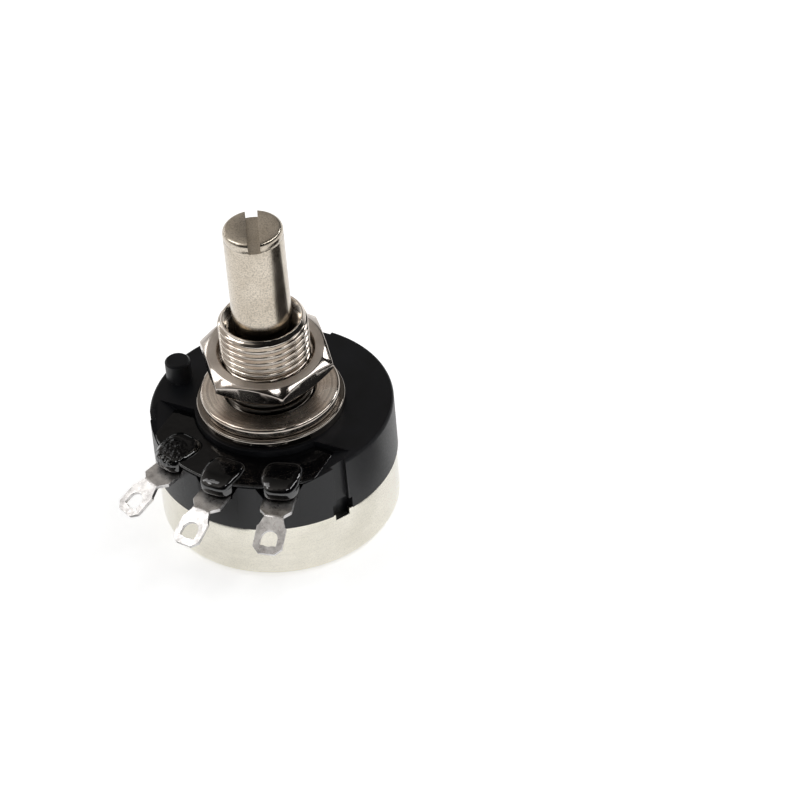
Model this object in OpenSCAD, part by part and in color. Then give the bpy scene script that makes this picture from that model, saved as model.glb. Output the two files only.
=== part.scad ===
// Rotary potentiometer of the 24 mm size, with a slotted shaft, a threaded
// bushing and three solder terminals. Millimetres, +Z up the shaft. The origin
// is on the shaft's axis, at the front face of the moulded housing. Angles
// round the axis are counted from -Y, where the middle terminal points,
// towards +X. The shaft is drawn turned by rest_turn from its mid travel.

/* [Housing] */
// Diameter of the moulded front housing
housing_d = 24.6; // [24:0.1:27]
// Height of the housing's visible wall, from its front face to the cover's rim
housing_h = 6.3; // [5.8:0.1:8]
// Thickness of the housing's front wall, behind which the element lies
front_wall = 3.7; // [3.3:0.1:4.2]
// Wall of the housing's skirt, which stands inside the cover
skirt_t = 0.8; // [0.7:0.05:1.1]
// Length of the skirt below the cover's rim
skirt_l = 2; // [1.8:0.1:3]
// Rounding of the housing's front edge
edge_round = 0.35; // [0.1:0.05:0.5]

/* [Locating lug] */
// Diameter of the lug that stops the body from turning in a panel
lug_d = 2.6; // [2:0.1:3]
// Height of the lug above the front face
lug_h = 2.3; // [1.5:0.1:3]
// Distance of the lug's centre in from the housing's wall
lug_inset = 1.8; // [1.6:0.1:2.2]

/* [Rear cover] */
// Depth of the drawn cover, from its rim to its flat back
cover_depth = 6.45; // [6:0.05:9]
// Sheet thickness of the cover
cover_t = 0.35; // [0.3:0.05:0.5]
// How far the cover's wall lies inside the housing's wall
cover_inset = 0.2; // [0.1:0.05:0.4]
// Outer rounding of the cover's back edge
cover_round = 1; // [0.7:0.1:1.5]
// Width of each crimp tab and of its notch in the rim
tab_w = 1.6; // [1.2:0.1:2]
// Depth of each notch, down to the folded tab
tab_drop = 0.75; // [0.5:0.05:1]
// Length of each folded tab inside the cover's wall
tab_l = 0.5; // [0.4:0.05:0.6]

/* [Crimp grooves] */
// Width of the three grooves down the housing's wall
groove_w = 1.5; // [1.2:0.1:1.8]
// Depth of the three grooves
groove_depth = 0.55; // [0.3:0.05:0.6]
// Width of the pocket at the foot of each groove
pocket_w = 2.3; // [2.1:0.1:2.8]
// Height of the pocket above the cover's rim
pocket_h = 1.4; // [1:0.1:2]

/* [Bushing] */
// Outside diameter of the thread
thread_d = 9; // [8.8:0.1:9.6]
// Length of the bushing from the flange's face to its end
bushing_l = 10.1; // [9.5:0.1:12]
// Pitch of the thread, which is cut as rings here
thread_pitch = 0.75; // [0.75:0.25:1]
// Depth of the thread
thread_depth = 0.4; // [0.3:0.05:0.45]
// Distance of the round flange's rim in from the housing's wall
flange_inset = 4.8; // [4.6:0.1:5.2]
// Thickness of the flange
flange_t = 1; // [0.8:0.05:1.2]
// Chamfer at the end of the thread
thread_chamfer = 0.45; // [0.3:0.05:0.6]
// Depth of the countersink at the bore's mouth
mouth_depth = 0.85; // [0.5:0.05:0.95]
// Width across the two flats of the spigot in the housing
spigot_flats = 8; // [7.6:0.1:8.4]
// Height of the riveted collar behind the housing's front wall
collar_h = 0.6; // [0.4:0.05:0.65]
// How far the riveted collar stands out from the spigot
collar_step = 0.7; // [0.5:0.05:0.8]

/* [Shaft] */
// Diameter of the shaft's free end, which takes the knob
shaft_d = 6; // [5.9:0.05:6.2]
// Diameter of the shaft's journal in the bushing
journal_d = 5.6; // [5.4:0.05:5.65]
// Distance of the step between them below the bushing's end
step_down = 0.1; // [0.05:0.05:0.3]
// Shaft length from the flange's face to the tip
shaft_l = 21.2; // [18:0.1:26]
// Chamfer at the tip
tip_chamfer = 0.4; // [0.2:0.05:0.6]
// Width of the screwdriver slot
slot_w = 1.2; // [1:0.1:1.5]
// Depth of the screwdriver slot
slot_depth = 1.5; // [1:0.1:2.5]
// Diameter of the riveted tenon behind the shoulder
tenon_d = 4.4; // [4:0.1:4.8]
// Width across the tenon's two flats
tenon_flats = 3.6; // [3.2:0.1:3.8]
// How far the tenon's riveted head stands out from it
tenon_step = 0.6; // [0.4:0.05:0.8]
// Height of the tenon's riveted head
tenon_head_h = 0.5; // [0.3:0.05:0.7]
// Full travel from stop to stop, in degrees
travel = 300; // [270:5:300]
// Turn of the shaft at rest from its mid travel, in degrees
rest_turn = 30; // [-60:5:60]

/* [Thrust washer and retaining ring] */
// Outside diameter of the thrust washer
thrust_d = 9; // [8:0.1:9.4]
// Thickness of the thrust washer
thrust_t = 0.25; // [0.15:0.05:0.3]
// Outside diameter of the retaining ring
ring_d = 8.4; // [7.6:0.1:8.8]
// Thickness of the retaining ring
ring_t = 0.4; // [0.3:0.05:0.5]
// Width of the ring's opening
ring_opening = 4; // [3.7:0.1:4.4]
// Length of shaft left behind the ring's groove
ring_land = 0.55; // [0.4:0.05:0.8]
// Depth of the ring's groove in the shaft
ring_groove = 0.65; // [0.5:0.05:0.8]

/* [Mounting hardware] */
// Distance of the flat washer's rim in from the flange's rim
washer_inset = 0.45; // [0.2:0.05:0.8]
// Thickness of the flat washer
washer_t = 1.1; // [0.8:0.05:1.3]
// Rounding of the flat washer's outer edges
washer_round = 0.35; // [0.1:0.05:0.35]
// Wall of the hexagonal nut between its thread and its flats
nut_wall = 1.5; // [1.25:0.05:2]
// Thickness of the nut
nut_t = 2; // [1.8:0.1:2.5]
// How far the nut's faces are chamfered in from its flats
nut_inset = 0.2; // [0.1:0.05:0.3]
// Depth of the chamfers at the ends of the nut's thread
nut_mouth = 0.3; // [0.2:0.05:0.5]
// Height of the nut above the flat washer, as it is screwed on
nut_lift = 3; // [2.5:0.05:4]
// Tilt of the loose nut on its thread, in degrees
nut_tilt = 6; // [0:0.5:6]
// Angle round the shaft towards which the nut is tilted
nut_tilt_turn = 40; // [0:5:355]
// Angle of one of the nut's corners round the shaft
nut_turn = 40.5; // [0:0.5:60]

/* [Terminals] */
// Sheet thickness of the terminals
term_t = 0.4; // [0.3:0.05:0.45]
// Depth of the terminals' upper face below the housing's front face
term_depth = 2.1; // [1.9:0.05:2.3]
// Angle between neighbouring terminals where they leave the wall
term_spacing = 30; // [30:0.5:33]
// Angle between the directions of neighbouring terminals
term_fan = 15; // [10:0.5:20]
// Width of the strip at the wall
strip_w = 3.2; // [3:0.05:3.3]
// Length of the strip from the wall to the bend
strip_l = 2.6; // [2.2:0.1:3.2]
// Width of the neck where the terminal bends
neck_w = 1.95; // [1.6:0.05:2.2]
// Angle that the eyelet tab is bent down
bend_angle = 27; // [0:1:60]
// Inside radius of the bend
bend_r = 0.3; // [0.2:0.05:0.6]
// Width of the eyelet tab
eyelet_w = 3; // [2.8:0.05:3.3]
// Length of the eyelet tab from the bend to its tip
eyelet_l = 3.85; // [3.7:0.05:4.6]
// How far the corners of the eyelet tab's tip are cut off
eyelet_cut = 0.65; // [0.5:0.05:0.75]
// Width of the hole in the eyelet tab
hole_w = 1.7; // [1.4:0.05:1.8]
// Length of the hole in the eyelet tab, which is round towards the bend
hole_l = 1.6; // [1.5:0.05:1.8]
// Metal left between the hole and the tab's tip
hole_margin = 0.85; // [0.7:0.05:0.95]
// Length over which the strip narrows to the neck
taper_l = 0.7; // [0.5:0.05:0.9]
// Length over which the eyelet tab widens out from the neck
widen_l = 1.05; // [0.9:0.05:1.1]

/* [Terminal seats] */
// Depth of the recess round the terminals below the front face
recess_depth = 0.9; // [0.6:0.05:1.2]
// Half width of the recess on its floor
recess_half = 8.3; // [8:0.1:9]
// Run of the ramp at each side of the recess
recess_ramp = 2.5; // [1.5:0.1:3]
// How far each terminal's seat widens towards the recess's floor
seat_flare = 0.65; // [0.3:0.05:0.8]
// Height of the sealing compound's crown above the recess's floor
seal_crown = 0.75; // [0.3:0.05:0.85]
// Rounding of the sealing compound where it meets the housing's wall
seal_round = 0.6; // [0.3:0.05:0.7]

/* [Rivets] */
// Diameter of the rivet heads, as a share of the element's width
rivet_head_share = 0.28; // [0.25:0.01:0.3]
// Diameter of the rivets, as a share of their heads'
rivet_share = 0.73; // [0.65:0.01:0.8]
// Height of the rivet heads
rivet_head_h = 0.35; // [0.25:0.05:0.4]
// Distance of the middle rivet out from the track's mean radius
middle_rivet_out = 0.4; // [0.2:0.05:0.6]

/* [Resistance element] */
// Thickness of the element's board
board_t = 0.8; // [0.6:0.05:0.9]
// Place of the track's middle across the board, as a share of the board's width
track_place = 0.505; // [0.49:0.005:0.52]
// Width of the carbon track, as a share of the board's width
track_share = 0.3; // [0.26:0.01:0.31]
// Thickness of the printed track and of its end contacts
track_t = 0.1; // [0.05:0.01:0.15]
// Place of the collector ring's middle, as a share of the board's width
collector_place = 0.15; // [0.13:0.005:0.16]
// Width of the collector ring, as a share of the board's width
collector_share = 0.22; // [0.2:0.01:0.24]

/* [Rotor] */
// Gap between the rotor's rim and the skirt
rotor_rim_gap = 1.5; // [1.4:0.05:1.8]
// Thickness of the rotor disc
rotor_t = 1.6; // [1.2:0.1:2]
// Space between the element's board and the rotor disc
wiper_space = 2.1; // [1.9:0.05:2.4]
// Diameter of the rotor's hub
hub_d = 8.4; // [8:0.1:8.8]
// Half of the angle that the rotor's stop lug takes
stop_lug_half = 17.5; // [15:0.5:18]
// Diameter of the two pegs that hold the wiper spring
peg_d = 0.9; // [0.7:0.05:1]

/* [Wiper] */
// Sheet thickness of the wiper spring
spring_t = 0.2; // [0.15:0.01:0.25]
// Width of each wiper arm
arm_w = 1.3; // [1:0.05:1.4]
// Length of each wiper arm
arm_l = 3.8; // [3.4:0.1:4.2]
// Diameter of the contact buttons
button_d = 1.1; // [0.9:0.05:1.2]
// Height of the contact buttons above their arms
button_h = 0.3; // [0.2:0.05:0.4]

/* [Hidden] */
$fn = 96;

// Clearances
fit_gap = 0.05;      // between fixed pieces that are put together
running_gap = 0.03;  // between the shaft and the bushing's bore
axial_play = 0.05;   // between faces that turn past each other
turn_gap = 0.3;      // between the rotor and the housing
snug_gap = 0.02;     // between small pieces that are pressed together
hole_gap = 0.15;     // between the thread and the flat washer's hole
nut_play = 0.12;     // between the thread's crests and the nut, which tilts in it
recess_gap = 0.25;   // between the flange and the terminals' recess
stop_air = 0.5;      // degrees left at the stop when the joint is at its end
over = 1;            // how far a cutting shape stands past what it cuts

// Small edges
lead_in = 0.2;       // chamfers of the skirt's end and of the lug
flange_round = 0.2;  // rounding of the flange's rim
margin = 0.15;       // material left round the pegs, pads and arms

// Radii
housing_r = housing_d / 2;
cover_r = housing_r - cover_inset;
skirt_r = cover_r - cover_t - fit_gap;
cavity_r = skirt_r - skirt_t;
thread_r = thread_d / 2;
flange_r = housing_r - flange_inset;
washer_r = flange_r - washer_inset;
nut_r = thread_r + nut_wall;
nut_bore_r = thread_r + nut_play;
journal_r = journal_d / 2;
bore_r = journal_r + running_gap;
collar_r = thread_r + collar_step;
rotor_r = cavity_r - rotor_rim_gap;
stop_r = rotor_r + turn_gap + fit_gap;
board_in_r = collar_r + turn_gap;
board_out_r = cavity_r - fit_gap;
hub_r = hub_d / 2;
recess_in_r = flange_r + recess_gap;
board_w = board_out_r - board_in_r;
track_r = board_in_r + track_place * board_w;
track_w = track_share * board_w;
track_out_r = track_r + track_w / 2;
collector_r = board_in_r + collector_place * board_w;
collector_w = collector_share * board_w;
rivet_head_d = rivet_head_share * board_w;
rivet_d = rivet_share * rivet_head_d;

// Heights, from the tip of the shaft down to the back
tip_z = flange_t + shaft_l;
bushing_z = flange_t + bushing_l;
washer_z = flange_t + washer_t;
nut_z = washer_z + nut_lift;
term_z = -term_depth - term_t;
seal_z = seal_crown - recess_depth;
wall_z = -front_wall;
collar_z = wall_z - collar_h;
board_z = wall_z - board_t;
track_z = board_z - track_t;
rim_z = -housing_h;
skirt_z = rim_z - skirt_l;
back_z = rim_z - cover_depth;
thrust_z = collar_z - axial_play - thrust_t;
ring_z = thrust_z - axial_play - ring_t;
shoulder_z = ring_z - ring_land;
rotor_z = board_z - wiper_space;
rotor_back_z = rotor_z - rotor_t;
button_z = track_z - axial_play;
arm_z = button_z - button_h;
spring_z = rotor_z + spring_t;

// Places
groove_angles = [-60, 60, 180];
dead_half = (360 - travel) / 2;
stop_half = dead_half - stop_lug_half - stop_air;
pad_half = 3;
end_angle = dead_half + pad_half;
outer_rivet_in = (housing_r - track_out_r - rivet_head_d / 2 - margin) / cos(term_fan);
middle_rivet_in = housing_r - track_r - middle_rivet_out;
peg_r = hub_r + peg_d + margin;
plate_r = peg_r + peg_d;
pad_r = rivet_head_d / 2 + margin;
arm_root = hub_r + 2 * fit_gap;
arm_overhang = 0.7;
arm_foot = 0.8;

// Puts a shape that is drawn on the -Y side at an angle round the axis.
module at_angle(a) rotate([0, 0, a]) children();

// Puts a shape that is drawn from the wall outwards along -Y on the wall, at
// the place and in the direction of terminal k, which is -1, 0 or 1.
module at_terminal(k)
    translate([housing_r * sin(k * term_spacing), -housing_r * cos(k * term_spacing), 0])
        rotate([0, 0, k * term_fan]) children();

// A cylinder from z0 up to z1.
module post(r, z0, z1) translate([0, 0, z0]) cylinder(r = r, h = z1 - z0);

// A ring with square edges from z0 up to z1.
module ring(r_in, r_out, z0, z1)
    rotate_extrude() translate([r_in, z0]) square([r_out - r_in, z1 - z0]);

// A cylinder with two flats, from z0 up to z1.
module double_d(d, flats, z0, z1)
    intersection() {
        post(d / 2, z0, z1);
        translate([-d, -flats / 2, z0]) cube([2 * d, flats, z1 - z0]);
    }

// A flat sector from radius r_in to r_out, centred on -Y.
module sector(r_in, r_out, half, z0, z1)
    translate([0, 0, z0])
        rotate([0, 0, -90 - half])
            rotate_extrude(angle = 2 * half)
                translate([r_in, 0]) square([r_out - r_in, z1 - z0]);

// Points of an arc round [cx, cy] from angle a0 to a1.
function arc(cx, cy, r, a0, a1, n = 6) =
    [for (i = [0 : n]) let (a = a0 + (a1 - a0) * i / n) [cx + r * cos(a), cy + r * sin(a)]];

// The distance of terminal k's rivet in from the wall.
function rivet_in(k) = k == 0 ? middle_rivet_in : outer_rivet_in;

// The housing's section: front wall, visible wall and the skirt behind it.
module housing_body()
    rotate_extrude()
        polygon(concat(
            [[0, 0], [0, wall_z], [cavity_r, wall_z], [cavity_r, skirt_z],
             [skirt_r - lead_in, skirt_z], [skirt_r, skirt_z + lead_in], [skirt_r, rim_z],
             [housing_r, rim_z]],
            arc(housing_r - edge_round, -edge_round, edge_round, 0, 90)));

// The low field that the terminals lie in, with a ramp at each side.
module terminal_recess()
    translate([0, -recess_in_r / 2, 0]) rotate([90, 0, 0])
        linear_extrude(housing_r)
            polygon([[-recess_half, -recess_depth], [recess_half, -recess_depth],
                     [recess_half + recess_ramp, 0], [recess_half + recess_ramp, over],
                     [-recess_half - recess_ramp, over], [-recess_half - recess_ramp, 0]]);

// The seat of one terminal: a slot with flared sides, cut down to the strip.
module terminal_seat(k)
    at_terminal(k) {
        back = rivet_in(k) + strip_w / 2 + fit_gap;
        half = strip_w / 2 + fit_gap;
        top = half + seat_flare;
        translate([0, back, 0]) rotate([90, 0, 0])
            linear_extrude(back + over)
                polygon([[-half, term_z], [half, term_z], [half, -term_depth],
                         [top, -recess_depth], [top, over], [-top, over],
                         [-top, -recess_depth], [-half, -term_depth]]);
    }

module front_housing()
    color([0.10, 0.10, 0.11])
    difference() {
        union() {
            housing_body();
            at_angle(-90) translate([0, lug_inset - housing_r, 0])
                rotate_extrude()
                    polygon([[0, -over], [lug_d / 2, -over], [lug_d / 2, lug_h - lead_in],
                             [lug_d / 2 - lead_in, lug_h], [0, lug_h]]);
            sector(stop_r, cavity_r + fit_gap, stop_half, skirt_z, wall_z + fit_gap);
        }
        double_d(thread_d, spigot_flats, wall_z - over, over);
        difference() {
            union() {
                terminal_recess();
                for (k = [-1 : 1]) terminal_seat(k);
            }
            post(recess_in_r, -term_depth, 2 * over);
        }
        for (k = [-1 : 1])
            at_terminal(k) translate([0, rivet_in(k), 0])
                post(rivet_d / 2 + fit_gap, wall_z - over, 0);
        for (a = groove_angles) at_angle(a) {
            translate([-groove_w / 2, -housing_r - over, rim_z])
                cube([groove_w, groove_depth + over, housing_h + over]);
            translate([-pocket_w / 2, -housing_r - over, rim_z - tab_drop - cover_t - fit_gap])
                cube([pocket_w, housing_r + over - (skirt_r - tab_l - fit_gap),
                      pocket_h + tab_drop + cover_t + fit_gap]);
        }
    }

// The cover's outline turned round the axis: wall, rounded edge and flat back.
module cover_shell(r, z, round)
    rotate_extrude()
        polygon(concat(
            [[0, rim_z + over], [0, z]],
            arc(r - round, z + round, round, -90, 0),
            [[r, rim_z + over]]));

module rear_cover()
    color([0.80, 0.78, 0.73]) {
        difference() {
            cover_shell(cover_r, back_z, cover_round);
            cover_shell(cover_r - cover_t, back_z + cover_t, cover_round - cover_t);
            post(housing_r + over, rim_z, rim_z + 2 * over);
            for (a = groove_angles) at_angle(a)
                translate([-tab_w / 2, -housing_r, rim_z - tab_drop])
                    cube([tab_w, housing_r - skirt_r + skirt_t, tab_drop + over]);
        }
        for (a = groove_angles) at_angle(a)
            intersection() {
                translate([-tab_w / 2, -cover_r, rim_z - tab_drop - cover_t])
                    cube([tab_w, cover_r - skirt_r + tab_l, cover_t]);
                post(cover_r - cover_t / 2, rim_z - tab_drop - cover_t, rim_z);
            }
    }

// The thread's outline from its foot to its chamfer, one groove for each turn.
function thread_outline() =
    let (first = flange_t + thread_pitch / 2,
         turns = floor((bushing_l - thread_chamfer - thread_pitch / 2) / thread_pitch))
    [for (i = [0 : turns - 1]) let (z = first + i * thread_pitch)
        each [[thread_r, z], [thread_r - thread_depth, z + 0.44 * thread_pitch],
              [thread_r, z + 0.88 * thread_pitch]]];

module bushing()
    color([0.70, 0.67, 0.62])
    difference() {
        union() {
            double_d(thread_d, spigot_flats, wall_z, fit_gap);
            post(collar_r, collar_z, wall_z);
            rotate_extrude()
                polygon(concat(
                    [[0, 0], [flange_r, 0]],
                    arc(flange_r - flange_round, flange_t - flange_round, flange_round, 0, 90, 4),
                    [[thread_r, flange_t]],
                    thread_outline(),
                    [[thread_r, bushing_z - thread_chamfer],
                     [thread_r - thread_chamfer, bushing_z], [0, bushing_z]]));
        }
        rotate_extrude()
            polygon([[0, collar_z - over], [bore_r, collar_z - over],
                     [bore_r, bushing_z - mouth_depth], [bore_r + mouth_depth, bushing_z],
                     [bore_r + mouth_depth, bushing_z + over], [0, bushing_z + over]]);
    }

module mounting_washer()
    color([0.74, 0.71, 0.66])
    rotate_extrude()
        polygon(concat(
            [[thread_r + hole_gap, flange_t]],
            arc(washer_r - washer_round, flange_t + washer_round, washer_round, -90, 0),
            arc(washer_r - washer_round, washer_z - washer_round, washer_round, 0, 90),
            [[thread_r + hole_gap, washer_z]]));

// A hexagonal nut, chamfered to a circle on both faces, loose on its thread.
module mounting_nut()
    color([0.72, 0.69, 0.64])
    translate([0, 0, nut_z + nut_t / 2])
    rotate([nut_tilt * cos(nut_tilt_turn), nut_tilt * sin(nut_tilt_turn), 0])
    translate([0, 0, -nut_t / 2])
    difference() {
        intersection() {
            rotate([0, 0, nut_turn - 90]) cylinder(r = nut_r / cos(30), h = nut_t, $fn = 6);
            rotate_extrude() {
                face_r = nut_r - nut_inset;
                middle_r = face_r + nut_t / 2 / tan(30);
                polygon([[0, 0], [face_r, 0], [middle_r, nut_t / 2], [face_r, nut_t], [0, nut_t]]);
            }
        }
        rotate_extrude()
            polygon([[0, -over], [nut_bore_r + nut_mouth, -over], [nut_bore_r + nut_mouth, 0],
                     [nut_bore_r, nut_mouth], [nut_bore_r, nut_t - nut_mouth],
                     [nut_bore_r + nut_mouth, nut_t], [nut_bore_r + nut_mouth, nut_t + over],
                     [0, nut_t + over]]);
    }

// The outline of the eyelet tab, from the bend at y = 0 out to its tip.
module eyelet_outline() {
    half = eyelet_w / 2;
    hole_foot = hole_margin - eyelet_l;
    hole_turn = hole_foot + hole_l - hole_w / 2;
    difference() {
        polygon([[-neck_w / 2, 0], [-half + margin, -widen_l + margin], [-half, -widen_l],
                 [-half, eyelet_cut - eyelet_l], [eyelet_cut - half, -eyelet_l],
                 [half - eyelet_cut, -eyelet_l], [half, eyelet_cut - eyelet_l],
                 [half, -widen_l], [half - margin, -widen_l + margin], [neck_w / 2, 0]]);
        translate([0, hole_turn]) circle(d = hole_w);
        translate([-hole_w / 2, hole_foot]) square([hole_w, hole_turn - hole_foot]);
    }
}

// One terminal, stamped from tinned sheet: a strip in the housing, a neck with
// the bend in it, and an eyelet tab.
module terminal(k)
    color([0.62, 0.60, 0.58])
    at_terminal(k) {
        back = rivet_in(k) + strip_w / 2;
        translate([0, 0, term_z])
        difference() {
            linear_extrude(term_t)
                polygon([[-strip_w / 2, back], [-strip_w / 2, taper_l - strip_l],
                         [-neck_w / 2, -strip_l], [neck_w / 2, -strip_l],
                         [strip_w / 2, taper_l - strip_l], [strip_w / 2, back]]);
            translate([0, rivet_in(k), 0]) post(rivet_d / 2 + fit_gap, -over, over);
        }
        translate([0, -strip_l, term_z - bend_r]) {
            rotate([90, 0, 90]) translate([0, 0, -neck_w / 2])
                rotate([0, 0, 90]) rotate_extrude(angle = bend_angle)
                    translate([bend_r, 0]) square([term_t, neck_w]);
            rotate([bend_angle, 0, 0]) translate([0, 0, bend_r])
                linear_extrude(term_t) eyelet_outline();
        }
    }

module terminal_1() terminal(-1);
module terminal_2() terminal(0);
module terminal_3() terminal(1);

// A rivet through each terminal, the front wall, the board and its contact.
module terminal_rivets()
    color([0.75, 0.72, 0.66])
    for (k = [-1 : 1])
        at_terminal(k) translate([0, rivet_in(k), 0]) {
            post(rivet_d / 2, track_z - rivet_head_h / 2, -term_depth + rivet_head_h / 2);
            post(rivet_head_d / 2, -term_depth, -term_depth + rivet_head_h);
            post(rivet_head_d / 2, track_z - rivet_head_h, track_z);
        }

// Sealing compound poured over each terminal: it fills the seat and stands in
// a rounded crown over the recess's floor.
module terminal_seal()
    color([0.05, 0.05, 0.06])
    for (k = [-1 : 1])
        difference() {
            intersection() {
                at_terminal(k) {
                    back = rivet_in(k) + strip_w / 2;
                    half = strip_w / 2;
                    top = half + seat_flare;
                    crown_r = (top * top + seal_crown * seal_crown) / (2 * seal_crown);
                    crown_a = asin(top / crown_r);
                    translate([0, back, 0]) rotate([90, 0, 0])
                        linear_extrude(back + over)
                            polygon(concat(
                                [[-half, -term_depth], [half, -term_depth]],
                                arc(0, seal_z - crown_r, crown_r,
                                    90 - crown_a, 90 + crown_a, 12)));
                }
                rotate_extrude()
                    polygon(concat(
                        [[recess_in_r, -term_depth], [housing_r - fit_gap, -term_depth]],
                        arc(housing_r - fit_gap - seal_round, seal_z - seal_round,
                            seal_round, 0, 90),
                        [[recess_in_r, seal_z]]));
            }
            at_terminal(k) translate([0, rivet_in(k), 0])
                post(rivet_head_d / 2, -term_depth - over, -term_depth + rivet_head_h);
        }

module element_board()
    color([0.45, 0.30, 0.16])
    difference() {
        ring(board_in_r, board_out_r, board_z, wall_z);
        sector(stop_r - fit_gap, board_out_r + over, stop_half + stop_air,
               board_z - over, wall_z + over);
        for (k = [-1 : 1])
            at_terminal(k) translate([0, rivet_in(k), 0])
                post(rivet_d / 2 + fit_gap, board_z - over, wall_z + over);
    }

module carbon_track()
    color([0.07, 0.07, 0.07])
    at_angle(180)
        sector(track_r - track_w / 2, track_r + track_w / 2, 180 - end_angle, track_z, board_z);

// A silvered pad at each end of the track, reaching out to its rivet.
module end_contacts()
    color([0.80, 0.80, 0.78])
    for (k = [-1, 1])
        difference() {
            union() {
                at_angle(k * (end_angle - pad_half))
                    sector(track_r - track_w / 2, track_r + track_w / 2, pad_half,
                           track_z, board_z);
                at_terminal(k) translate([0, rivet_in(k), 0]) post(pad_r, track_z, board_z);
                at_angle(k * (end_angle - pad_half / 2))
                    sector(track_r, track_r + rivet_head_d, pad_half / 2, track_z, board_z);
            }
            at_terminal(k) translate([0, rivet_in(k), 0])
                post(rivet_d / 2 + fit_gap, track_z - over, board_z + over);
        }

// The collector ring, with a tail out to the middle rivet.
module collector_ring()
    color([0.78, 0.76, 0.70])
    difference() {
        union() {
            ring(collector_r - collector_w / 2, collector_r + collector_w / 2, track_z, board_z);
            translate([-pad_r, middle_rivet_in - housing_r, track_z])
                cube([2 * pad_r, housing_r - middle_rivet_in - collector_r, track_t]);
            translate([0, middle_rivet_in - housing_r, 0]) post(pad_r, track_z, board_z);
        }
        translate([0, middle_rivet_in - housing_r, 0])
            post(rivet_d / 2 + fit_gap, track_z - over, board_z + over);
    }

module shaft()
    color([0.76, 0.73, 0.67])
    at_angle(rest_turn) {
        r = shaft_d / 2;
        groove_r = journal_r - ring_groove;
        difference() {
            rotate_extrude()
                polygon([[0, shoulder_z], [journal_r, shoulder_z],
                         [journal_r, ring_z - snug_gap], [groove_r, ring_z - snug_gap],
                         [groove_r, ring_z + ring_t + snug_gap],
                         [journal_r, ring_z + ring_t + snug_gap],
                         [journal_r, bushing_z - step_down], [r, bushing_z - step_down],
                         [r, tip_z - tip_chamfer], [r - tip_chamfer, tip_z], [0, tip_z]]);
            translate([-slot_w / 2, -shaft_d, tip_z - slot_depth])
                cube([slot_w, 2 * shaft_d, slot_depth + over]);
        }
        double_d(tenon_d, tenon_flats, rotor_back_z, shoulder_z);
        post(tenon_d / 2 + tenon_step, rotor_back_z - tenon_head_h, rotor_back_z);
    }

module thrust_washer()
    color([0.72, 0.55, 0.30])
    ring(bore_r, thrust_d / 2, thrust_z, thrust_z + thrust_t);

// The retaining ring, open on one side, in its groove.
module retaining_ring()
    color([0.35, 0.35, 0.37])
    at_angle(rest_turn)
        difference() {
            ring(journal_r - ring_groove + snug_gap, ring_d / 2, ring_z, ring_z + ring_t);
            translate([-ring_opening / 2, -ring_d, ring_z - over])
                cube([ring_opening, ring_d, ring_t + 2 * over]);
        }

module rotor()
    color([0.30, 0.17, 0.10])
    at_angle(rest_turn)
        difference() {
            union() {
                post(rotor_r, rotor_back_z, rotor_z);
                at_angle(180)
                    sector(rotor_r - over, cavity_r - turn_gap, stop_lug_half,
                           rotor_back_z, rotor_z);
                post(hub_r, rotor_z, shoulder_z);
                for (s = [-1, 1])
                    translate([s * peg_r, 0, 0])
                        post(peg_d / 2, rotor_z - fit_gap, spring_z + spring_t);
            }
            double_d(tenon_d, tenon_flats, rotor_back_z - over, shoulder_z + over);
        }

// The side view of an arm, which rises from the plate to its contact button.
module arm_profile() {
    foot = arm_l - arm_foot;
    flat = button_d - margin;
    polygon([[-arm_l, rotor_z], [-foot, rotor_z], [-flat, arm_z - spring_t], [0, arm_z - spring_t],
             [0, arm_z], [-flat - spring_t / 2, arm_z], [-foot - spring_t / 2, spring_z],
             [-arm_l, spring_z]]);
}

// One arm over the radius r, on the side of the plate that side gives.
module wiper_arm(r, side)
    translate([arm_overhang, side * r + arm_w / 2, 0]) rotate([90, 0, 0])
        linear_extrude(arm_w) arm_profile();

module wiper_spring()
    color([0.80, 0.74, 0.62])
    at_angle(rest_turn)
        difference() {
            union() {
                ring(hub_r + fit_gap, plate_r, rotor_z, spring_z);
                intersection() {
                    union() {
                        for (arm = [[track_r, 1], [collector_r, -1]])
                            translate([arm_overhang - arm_l - arm_foot,
                                       arm[1] > 0 ? arm_root : -arm[0] - arm_w / 2, rotor_z])
                                cube([2 * arm_foot, arm[0] + arm_w / 2 - arm_root, spring_t]);
                        wiper_arm(track_r, 1);
                        wiper_arm(collector_r, -1);
                    }
                    post(rotor_r - margin, rotor_z - over, track_z);
                }
            }
            for (s = [-1, 1])
                translate([s * peg_r, 0, 0])
                    post(peg_d / 2 + fit_gap, rotor_z - over, spring_z + over);
            for (y = [track_r, -collector_r])
                translate([0, y, 0])
                    post(button_d / 4 + snug_gap, arm_z - spring_t - over, arm_z + over);
        }

// A contact button on the end of each arm, with its shank in the arm.
module wiper_contacts()
    color([0.85, 0.84, 0.80])
    at_angle(rest_turn)
        for (y = [track_r, -collector_r])
            translate([0, y, 0]) {
                post(button_d / 2, arm_z, button_z);
                post(button_d / 4, arm_z - 1.5 * spring_t, arm_z);
            }

front_housing();
rear_cover();
bushing();
mounting_washer();
mounting_nut();
terminal_1();
terminal_2();
terminal_3();
terminal_rivets();
terminal_seal();
element_board();
carbon_track();
end_contacts();
collector_ring();
shaft();
thrust_washer();
retaining_ring();
rotor();
wiper_spring();
wiper_contacts();
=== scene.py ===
from math import asin, ceil, cos, degrees, pi, radians, sin, sqrt, tan

import bmesh
import bpy
from mathutils import Matrix, Quaternion, Vector, noise


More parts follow.
